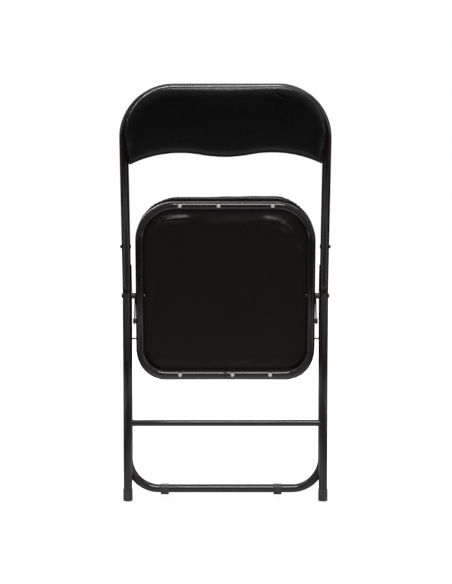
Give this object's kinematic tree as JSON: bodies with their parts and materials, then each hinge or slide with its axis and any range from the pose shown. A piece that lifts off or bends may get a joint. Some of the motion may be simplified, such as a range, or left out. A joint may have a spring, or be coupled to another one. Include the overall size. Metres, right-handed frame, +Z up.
{
  "type": "folding chair",
  "caption": "Padded folding chair shown folded and upright: bent tube hoop frame with backrest pad, rear leg frame, and an upholstered seat on a tube ring that folds up between the legs.",
  "frame": {"origin": "on the floor plane under the front feet, in the middle of the folded chair's width and depth", "axes": "+Z up along the front legs, -Y to the front of the folded chair (the side that the seat's underside faces), +X to the right seen from the front. The front frame is the root and stays upright, so the opened pose shows the chair pitched forward by about 28 degrees from how it stands on a floor."},
  "size_m": [0.4568, 0.1682, 0.9049],
  "materials": {
    "frame_paint": "gloss black paint",
    "foot_rubber": "matte dark grey rubber",
    "glide_plastic": "satin black plastic",
    "vinyl": "semi-gloss black vinyl",
    "board": "raw plywood and hardboard",
    "foam": "open-cell foam",
    "zinc": "bright zinc plating",
    "black_steel": "gloss black paint"
  },
  "bodies": {
    "front_frame": {"front_frame_tube": "frame_paint", "front_crossbar": "frame_paint", "front_foot_left": "foot_rubber", "front_foot_right": "foot_rubber", "backrest_rear_sheet": "vinyl", "backrest_board": "board", "backrest_foam": "foam", "backrest_cover": "vinyl", "backrest_screws": "zinc", "leg_pivot_rivet_left": "black_steel", "leg_pivot_rivet_right": "black_steel", "seat_pivot_bolt_left": "black_steel", "seat_pivot_bolt_right": "black_steel", "seat_pivot_nut_left": "black_steel", "seat_pivot_nut_right": "black_steel", "seat_pivot_spacer_left": "glide_plastic", "seat_pivot_spacer_right": "glide_plastic"},
    "rear_frame": {"rear_frame_tube": "frame_paint", "rear_glide_left": "glide_plastic", "rear_glide_right": "glide_plastic", "rear_link_rivet_left": "black_steel", "rear_link_rivet_right": "black_steel"},
    "seat": {"seat_ring": "frame_paint", "seat_underside": "vinyl", "seat_board": "board", "seat_foam": "foam", "seat_cover": "vinyl", "seat_screws": "zinc", "seat_link_rivet_left": "black_steel", "seat_link_rivet_right": "black_steel", "stop_stud_left": "black_steel", "stop_stud_right": "black_steel"},
    "left_link": {"link_plate_left": "black_steel", "link_boss_left": "black_steel"},
    "right_link": {"link_plate_right": "black_steel", "link_boss_right": "black_steel"}
  },
  "joints": [
    {"name": "rear_frame_hinge", "type": "hinge", "parent": "front_frame", "child": "rear_frame", "pos_m": [0, 0.01216, 0.56195], "axis": [1, 0, 0], "range_deg": [0, 48]},
    {"name": "seat_hinge", "type": "hinge", "parent": "front_frame", "child": "seat", "pos_m": [0, 0.0307, 0.454], "axis": [1, 0, 0], "range_deg": [0, 110.4]},
    {"name": "left_link_hinge", "type": "hinge", "parent": "seat", "child": "left_link", "pos_m": [-0.1993, 0.03509, 0.39817], "axis": [-1, 0, 0], "range_deg": [0, 138.4]},
    {"name": "right_link_hinge", "type": "hinge", "parent": "seat", "child": "right_link", "pos_m": [0.1993, 0.03509, 0.39817], "axis": [-1, 0, 0], "range_deg": [0, 138.4]}
  ],
  "couplings": [
    {"joint": "seat_hinge", "follows": "rear_frame_hinge", "ratio": 2.3},
    {"joint": "left_link_hinge", "follows": "rear_frame_hinge", "ratio": 2.8827},
    {"joint": "right_link_hinge", "follows": "rear_frame_hinge", "ratio": 2.8827}
  ]
}
